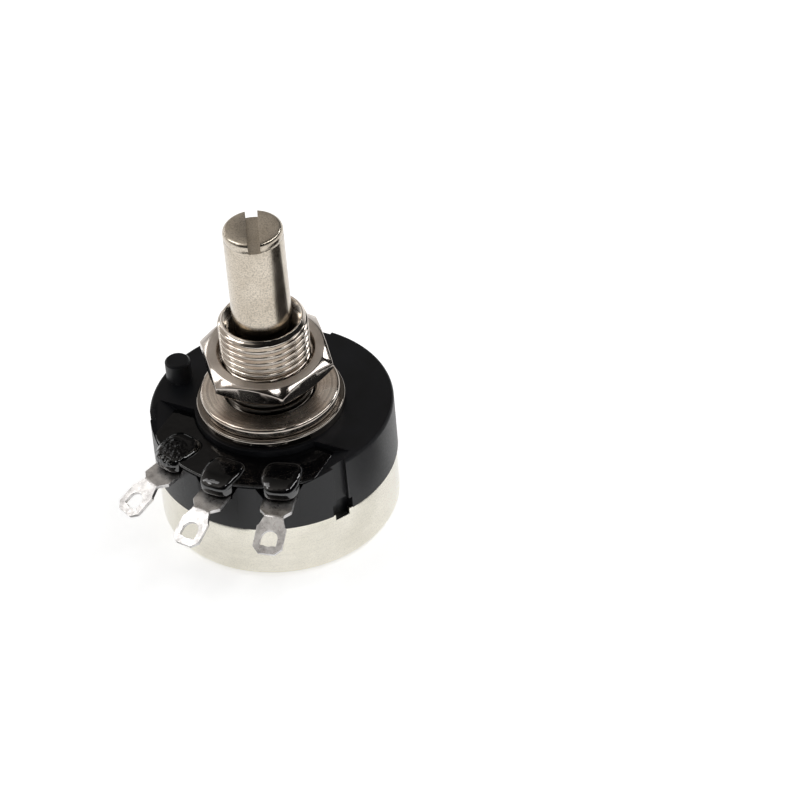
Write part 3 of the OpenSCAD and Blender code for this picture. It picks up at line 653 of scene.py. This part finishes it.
POOL_HALF = 9.05
POOL_OUT_R = 12.2
POOL_IN_R = 7.78
POOL_BACK_Y = -3.95
POOL_Z = -0.6
POOL_FOOT_Z = -0.98
POOL_EDGE = 0.3
POOL_STEPS = 48


def pool_arc(radius, start, end):
    """Points round the axis at a radius, from one x to another, on the terminals' side."""
    first, last = asin(start / radius), asin(end / radius)
    turns = [first + (last - first) * i / POOL_STEPS for i in range(POOL_STEPS + 1)]
    return [(radius * sin(a), -radius * cos(a)) for a in turns]


inner_x = sqrt(POOL_IN_R ** 2 - POOL_BACK_Y ** 2)
outline = (pool_arc(POOL_OUT_R, -POOL_HALF, POOL_HALF) + [(POOL_HALF, POOL_BACK_Y)]
           + pool_arc(POOL_IN_R, inner_x, -inner_x) + [(-POOL_HALF, POOL_BACK_Y)])
pool_mesh = bmesh.new()
floor_face = pool_mesh.faces.new([pool_mesh.verts.new((x * MM, y * MM, POOL_FOOT_Z * MM))
                                  for x, y in outline])
raised = bmesh.ops.extrude_face_region(pool_mesh, geom=[floor_face])["geom"]
for vert in raised:
    if isinstance(vert, bmesh.types.BMVert):
        vert.co.z = POOL_Z * MM
bmesh.ops.recalc_face_normals(pool_mesh, faces=pool_mesh.faces)
pool = softened(finished_mesh("compound_pool", pool_mesh), POOL_EDGE, 4)
both = bmesh.new()
both.from_mesh(seal.data)
both.from_mesh(pool.data)
for piece in (seal, pool):
    bpy.data.objects.remove(piece)
seal = finished_mesh("terminal_seal_cast", both, smooth_below=60)
dress(seal, compound, "body", "sealing_compound", "terminal_seal")


# --- Inside the housing -----------------------------------------------------
# The board with its printed track, the contacts, the rivets, the rotor and its
# wiper are closed in by the cover. Their CAD shapes are right, so each keeps
# its node and gets the finish of the real piece.


def plain_finish(name, dark, light, metallic, gloss, grain_per_mm, relief_mm):
    """A finish with mottled colour, uneven gloss and a fine grain."""
    made, tree, shader, place = new_material(name)
    grain = add_node(tree, "ShaderNodeTexNoise",
                     {"Vector": place, "Scale": per_mm(grain_per_mm), "Detail": 4})
    tone = set_ramp(tree, grain.outputs["Fac"], [(0.35, dark), (0.65, light)])
    uneven = set_ramp(tree, grain.outputs["Fac"], [(0.3, gloss), (0.7, gloss + 0.15)])
    relief = add_node(tree, "ShaderNodeBump",
                      {"Height": grain.outputs["Fac"], "Strength": 0.4,
                       "Distance": relief_mm * MM})
    connect(tree, shader, tone, uneven, relief.outputs[0])
    shader.inputs["Metallic"].default_value = metallic
    return made


inner_finishes = {
    "element_board": plain_finish("paper phenolic board", "#6B4526", "#7D5430", 0, 0.5, 3, 0.02),
    "carbon_track": plain_finish("printed carbon", "#141414", "#202020", 0, 0.55, 8, 0.01),
    "end_contacts": plain_finish("silver ink", "#B4B4AE", "#CFCFCA", 0.9, 0.4, 8, 0.01),
    "collector_ring": plain_finish("silver plate", "#CFCBC2", "#DEDAD2", 1, 0.2, 4, 0.01),
    "terminal_rivets": plain_finish("plated rivet brass", "#BDB9B0", "#D2CEC6", 1, 0.25, 4, 0.01),
    "thrust_washer": plain_finish("phosphor bronze", "#B2834E", "#C99A64", 1, 0.25, 4, 0.01),
    "retaining_ring": plain_finish("oiled spring steel", "#55555A", "#66666B", 1, 0.3, 4, 0.01),
    "rotor": plain_finish("phenolic moulding, brown", "#3A2116", "#4B2C1D", 0, 0.4, 2, 0.02),
    "wiper_spring": plain_finish("rolled nickel silver", "#C4B9A2", "#D3C9B4", 1, 0.22, 4, 0.01),
    "wiper_contacts": plain_finish("silver button", "#D5D3CD", "#E2E0DB", 1, 0.15, 6, 0.01),
}
for node_name, finish in inner_finishes.items():
    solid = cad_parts[node_name].data
    solid.materials.clear()
    solid.materials.append(finish)


# --- Shaft ------------------------------------------------------------------
# The shaft is turned from 6 mm brass bar and nickel plated, with a rounded
# tip, a faint tool line below it, a sawn screwdriver slot and a journal that is
# a little thinner than the free end. It is drawn turned, as photographed.

SHAFT_R = 3.0
SHAFT_TIP_Z = 22.2
TIP_ROUND = 0.48
TIP_LINE_Z = 21.2
TIP_LINE_HALF = 0.04
TIP_LINE_DEPTH = 0.03
SHAFT_TURN = 30
SLOT_WIDTH = 1.2
SLOT_DEPTH = 1.05
JOURNAL_R = 2.8
JOURNAL_TOP_Z = 11.0
RING_TOP_Z = -4.63
RING_FOOT_Z = -5.07
RING_GROOVE_R = 2.15
SHOULDER_Z = -5.6
TENON_R = 1.8
TENON_HEAD_Z = -8.2
TENON_END_Z = -8.7
TENON_HEAD_R = 2.8
TENON_ROUND = 0.2
JOURNAL_ROUND = 0.04
SLOT_EDGE = 0.09

# Its band of painted shade darkens the shaft below the bushing's mouth, where the gap lies in
# shade.
shaft_nickel = nickel_plate("bright nickel, turned shaft", "#D6CCBD", "#C3B8A8",
                            gloss=0.15, face_gloss=0.34, rings=12, ring_bump=0.2,
                            speckle=0.55, painted_shade_band=(-9, 11.75))

outline = filleted([
    (0, TENON_END_Z), (TENON_HEAD_R, TENON_END_Z, TENON_ROUND), (TENON_HEAD_R, TENON_HEAD_Z),
    (TENON_R, TENON_HEAD_Z), (TENON_R, SHOULDER_Z), (JOURNAL_R, SHOULDER_Z),
    (JOURNAL_R, RING_FOOT_Z), (RING_GROOVE_R, RING_FOOT_Z), (RING_GROOVE_R, RING_TOP_Z),
    (JOURNAL_R, RING_TOP_Z), (JOURNAL_R, JOURNAL_TOP_Z),
    (SHAFT_R, JOURNAL_TOP_Z, JOURNAL_ROUND), (SHAFT_R, TIP_LINE_Z - TIP_LINE_HALF),
    (SHAFT_R - TIP_LINE_DEPTH, TIP_LINE_Z), (SHAFT_R, TIP_LINE_Z + TIP_LINE_HALF),
    (SHAFT_R, SHAFT_TIP_Z, TIP_ROUND), (0, SHAFT_TIP_Z)], steps=8)
spindle = turned("shaft_turned", outline, around=160)
saw = bmesh.new()
bmesh.ops.create_cube(saw, size=1, matrix=Matrix.Rotation(radians(SHAFT_TURN), 4, "Z")
                      @ Matrix.Translation((0, 0, SHAFT_TIP_Z * MM))
                      @ Matrix.Diagonal((SLOT_WIDTH * MM, 4 * SHAFT_R * MM,
                                         2 * SLOT_DEPTH * MM, 1)))
saw = finished_mesh("slot_saw", saw)
slot = spindle.modifiers.new("slot", "BOOLEAN")
slot.object = saw
slot.solver = "EXACT"
apply_modifiers(spindle)
bpy.data.objects.remove(saw)
spindle = softened(spindle, SLOT_EDGE, 2, angle=40)
dress(spindle, shaft_nickel, "spindle", "nickel_plated_shaft", "shaft")


# --- Flat washer and nut ----------------------------------------------------
# The flat washer is stamped and barrel polished, which rounds its edges. The
# nut is milled from hexagonal brass bar and chamfered on both faces. It hangs
# loose and a little tilted on its thread, some turns above the washer.

WASHER_R = 7.05
WASHER_HOLE_R = 4.65
WASHER_Z = 1.0
WASHER_T = 1.1
WASHER_ROUND = 0.34
WASHER_HOLE_FOOT_ROUND = 0.08
WASHER_HOLE_TOP_ROUND = 0.15
NUT_FLAT_R = 6.0
NUT_FACE_R = 5.8
NUT_Z = 5.1
NUT_T = 2.0
NUT_BORE_R = 4.62
NUT_MOUTH = 0.3
NUT_CHAMFER_ANGLE = 30
NUT_EDGE = 0.07
NUT_STEPS = 20
NUT_TURN = 40.5
NUT_TILT = 6
NUT_TILT_TURN = 40

washer_nickel = nickel_plate("bright nickel, stamped washer", "#EDE3D8", "#D6C7B9",
                             gloss=0.08, face_gloss=0.20, rings=4, ring_bump=0.5,
                             speckle=0.20, grooved=0.85)
nut_nickel = nickel_plate("bright nickel, milled nut", "#D6CEC6", "#BEB5AD",
                          gloss=0.05, face_gloss=0.30, rings=7, ring_bump=0.10,
                          speckle=0.12, grooved=0.8)

outline = filleted([
    (WASHER_HOLE_R, WASHER_Z, WASHER_HOLE_FOOT_ROUND), (WASHER_R, WASHER_Z, WASHER_ROUND),
    (WASHER_R, WASHER_Z + WASHER_T, WASHER_ROUND),
    (WASHER_HOLE_R, WASHER_Z + WASHER_T, WASHER_HOLE_TOP_ROUND)], steps=8)
washer = turned("mounting_washer_stamped", outline)
apply_modifiers(washer)
dress(washer, washer_nickel, "body", "nickel_plated_washer", "mounting_washer")

made = bmesh.new()
columns = []
for i in range(6 * NUT_STEPS):
    turn = 60 * i / NUT_STEPS
    corner_r = NUT_FLAT_R / cos(radians((turn % 60) - 30))
    drop = (corner_r - NUT_FACE_R) * tan(radians(NUT_CHAMFER_ANGLE))
    top = NUT_T / 2
    section = [(NUT_BORE_R, NUT_MOUTH - top), (NUT_BORE_R, top - NUT_MOUTH),
               (NUT_BORE_R + NUT_MOUTH, top), (NUT_FACE_R, top), (corner_r, top - drop),
               (corner_r, drop - top), (NUT_FACE_R, -top), (NUT_BORE_R + NUT_MOUTH, -top)]
    angle = radians(turn + NUT_TURN)
    columns.append([made.verts.new((r * sin(angle) * MM, -r * cos(angle) * MM, z * MM))
                    for r, z in section])
for one, two in zip(columns, columns[1:] + columns[:1]):
    for k in range(len(one)):
        n = (k + 1) % len(one)
        made.faces.new([one[k], two[k], two[n], one[n]])
tilt_axis = Vector((cos(radians(NUT_TILT_TURN)), sin(radians(NUT_TILT_TURN)), 0))
bmesh.ops.transform(made, verts=made.verts,
                    matrix=Matrix.Translation((0, 0, (NUT_Z + NUT_T / 2) * MM))
                    @ Matrix.Rotation(radians(NUT_TILT), 4, tilt_axis))
bmesh.ops.recalc_face_normals(made, faces=made.faces)
nut = softened(finished_mesh("mounting_nut_milled", made), NUT_EDGE, 3, angle=20)
dress(nut, nut_nickel, "body", "nickel_plated_nut", "mounting_nut")


# --- Studio -----------------------------------------------------------------
# The control stands on its back on a white sweep, in a dim room with soft light
# all round. Two large lamps stand at the left and right, and four small ones low,
# at a corner, behind and above. Dark sheets on the floor, seen only in reflections,
# paint dark reflections into the metal.

FLOOR_Z = COVER_BACK_Z * MM
FLOOR_GAP = 0.02 * MM  # keeps the floor off the cover's flat back
FLOOR_HALF = 1.5
FLOOR_LIFT = 0.46
SOFT_LIGHT = 0.46
LIT_SIDE = Vector((-0.61, 0.15, 0.78))
LAMP_DISTANCE = 420
FLAG_LIFT = 0.5


def seen_directly(tree):
    """1 for what the camera sees directly, in metal or through glass, else 0."""
    path = add_node(tree, "ShaderNodeLightPath").outputs
    seen = add_node(tree, "ShaderNodeMath", {0: path["Is Camera Ray"], 1: path["Is Glossy Ray"]},
                    operation="MAXIMUM")
    return add_node(tree, "ShaderNodeMath", {0: seen.outputs[0], 1: path["Is Transmission Ray"]},
                    operation="MAXIMUM").outputs[0]


floor_mesh = bmesh.new()
bmesh.ops.create_grid(floor_mesh, x_segments=1, y_segments=1, size=FLOOR_HALF,
                      matrix=Matrix.Translation((0, 0, FLOOR_Z - FLOOR_GAP)))
floor = finished_mesh("floor", floor_mesh)
# Matt white paper with the faintest fibres, shown as white as the photo's ground.
white_sweep, tree, shader, place = new_material("white sweep paper")
fibre = add_node(tree, "ShaderNodeTexNoise", {"Vector": place, "Scale": per_mm(1.5)})
tone = set_ramp(tree, fibre.outputs["Fac"], [(0.3, "#F2F2F2"), (0.7, "#F5F5F5")])
tree.links.new(tone, shader.inputs["Base Color"])
shader.inputs["Roughness"].default_value = 0.9
shader.inputs["Specular IOR Level"].default_value = 0
lift = add_node(tree, "ShaderNodeMath", {0: seen_directly(tree), 1: FLOOR_LIFT},
                operation="MULTIPLY")
shader.inputs["Emission Color"].default_value = (1, 1, 1, 1)
tree.links.new(lift.outputs[0], shader.inputs["Emission Strength"])
floor.data.materials.append(white_sweep)

room = bpy.data.worlds.new("studio room")
room.use_nodes = True
tree = room.node_tree
direction = add_node(tree, "ShaderNodeTexCoord").outputs["Generated"]
height = add_node(tree, "ShaderNodeSeparateXYZ", {0: direction}).outputs[2]
sweep = set_ramp(tree, height, [(0.10, 1.0), (0.34, 0.0)], interpolation="EASE")
facing = add_node(tree, "ShaderNodeVectorMath", {0: direction, 1: LIT_SIDE},
                  operation="DOT_PRODUCT")
things = add_node(tree, "ShaderNodeTexNoise",
                  {"Vector": direction, "Scale": 2.6, "Detail": 2, "Roughness": 0.5})
cluttered = add_node(tree, "ShaderNodeMath",
                     {0: things.outputs["Fac"], 1: 0.5, 2: facing.outputs["Value"]},
                     operation="MULTIPLY_ADD")
# The last two stops share a place: the room's brightest part has a hard edge.
walls = set_ramp(tree, cluttered.outputs[0], [(0.60, "#0B0B0B"), (0.85, "#3A3836"),
                                              (1.00, "#7F7B77"), (1.00, "#BAB5AF")])
seen_room = add_node(tree, "ShaderNodeMix",
                     {"Factor": sweep, 6: walls, 7: linear("#F3F3F3")}, data_type="RGBA")
soft = add_node(tree, "ShaderNodeLightPath").outputs["Is Diffuse Ray"]
lit = add_node(tree, "ShaderNodeMix", {"Factor": soft, 6: seen_room.outputs[2],
                                       7: [SOFT_LIGHT] * 3 + [1]}, data_type="RGBA")
tree.links.new(lit.outputs[2], tree.nodes["Background"].inputs["Color"])
bpy.context.scene.world = room


def soft_light(name, azimuth, height, size, power, roll=0):
    """A soft light of size (wide, tall), aimed at the control, in degrees and millimetres."""
    lamp = bpy.data.lights.new(name, "AREA")
    lamp.shape = "RECTANGLE"
    lamp.size, lamp.size_y = size[0] * MM, size[1] * MM
    lamp.energy = power
    made = bpy.data.objects.new(name, lamp)
    a, e = radians(azimuth), radians(height)
    made.location = Vector((sin(a) * cos(e), -cos(a) * cos(e), sin(e))) * LAMP_DISTANCE * MM
    made.rotation_mode = "QUATERNION"
    made.rotation_quaternion = ((-made.location).to_track_quat("-Z", "Y")
                                @ Quaternion((0, 0, 1), radians(roll)))
    bpy.context.scene.collection.objects.link(made)


soft_light("left strip light", -80, 50, (80, 290), 0.25)
soft_light("low strip light", -112, 22, (160, 30), 0.04)
soft_light("left corner light", -58, 55, (70, 60), 0.06)
soft_light("right strip light", 117, 52, (350, 70), 0.34, roll=-35)
soft_light("back light", 158, 34, (80, 60), 0.11)
soft_light("overhead light", 45, 69, (70, 50), 0.05)

# A flat warm black sheet, seen only in reflections: it paints dark reflections into the metal.
reflection_black, tree, shader, place = new_material("black sheet, seen only in reflections")
sheet_mottle = add_node(tree, "ShaderNodeTexNoise", {"Vector": place, "Scale": per_mm(0.2)})
tone = set_ramp(tree, sheet_mottle.outputs["Fac"], [(0.3, "#15110F"), (0.7, "#2E2622")])
tree.links.new(tone, shader.inputs["Base Color"])
shader.inputs["Roughness"].default_value = 0.9


def black_flag(name, azimuth, distance, half_size):
    """A dark sheet on the floor, seen only in reflections, that paints a dark reflection into
    metal; in degrees and millimetres.
    """
    made = bmesh.new()
    bmesh.ops.create_grid(made, x_segments=1, y_segments=1, size=1,
                          matrix=Matrix.Rotation(radians(azimuth - 90), 4, "Z")
                          @ Matrix.Translation((distance * MM, 0, FLOOR_Z + FLAG_LIFT * MM))
                          @ Matrix.Diagonal((half_size[0] * MM, half_size[1] * MM, 1, 1)))
    flag = finished_mesh(name, made)
    flag.data.materials.append(reflection_black)
    flag.visible_camera = False
    flag.visible_diffuse = False
    flag.visible_shadow = False


# Each sheet paints a dark reflection into the shaft or into one of the nut's sides.
black_flag("flag_for_the_shaft", 115, 52, (26, 19))
black_flag("flag_for_the_nuts_left_side", -10, 24, (3.5, 6.5))
black_flag("flag_for_the_nuts_right_side", 100, 22, (2.5, 6))

CAMERA_PLACE = Vector((179.49, -297.29, 289.47)) * MM
CAMERA_AZIMUTH = 29  # in degrees, the next two in radians
CAMERA_PITCH = 0.69732
CAMERA_ROLL = -0.08644
CAMERA_LENS = 202.7

level = Matrix.Rotation(radians(CAMERA_AZIMUTH), 3, "Z")
forward = level @ Vector((0, cos(CAMERA_PITCH), -sin(CAMERA_PITCH)))
right = level @ Vector((1, 0, 0))
up = level @ Vector((0, sin(CAMERA_PITCH), cos(CAMERA_PITCH)))
rolled_right = right * cos(CAMERA_ROLL) + up * sin(CAMERA_ROLL)
rolled_up = up * cos(CAMERA_ROLL) - right * sin(CAMERA_ROLL)
lens = bpy.data.cameras.new("camera")
lens.lens = CAMERA_LENS
lens.sensor_width = 36
lens.clip_start = 0.01
lens.clip_end = 10
camera = bpy.data.objects.new("camera", lens)
axes = Matrix((rolled_right, rolled_up, -forward)).transposed()
camera.matrix_world = Matrix.Translation(CAMERA_PLACE) @ axes.to_4x4()
bpy.context.scene.collection.objects.link(camera)
bpy.context.scene.camera = camera
bpy.context.scene.view_settings.view_transform = "Standard"
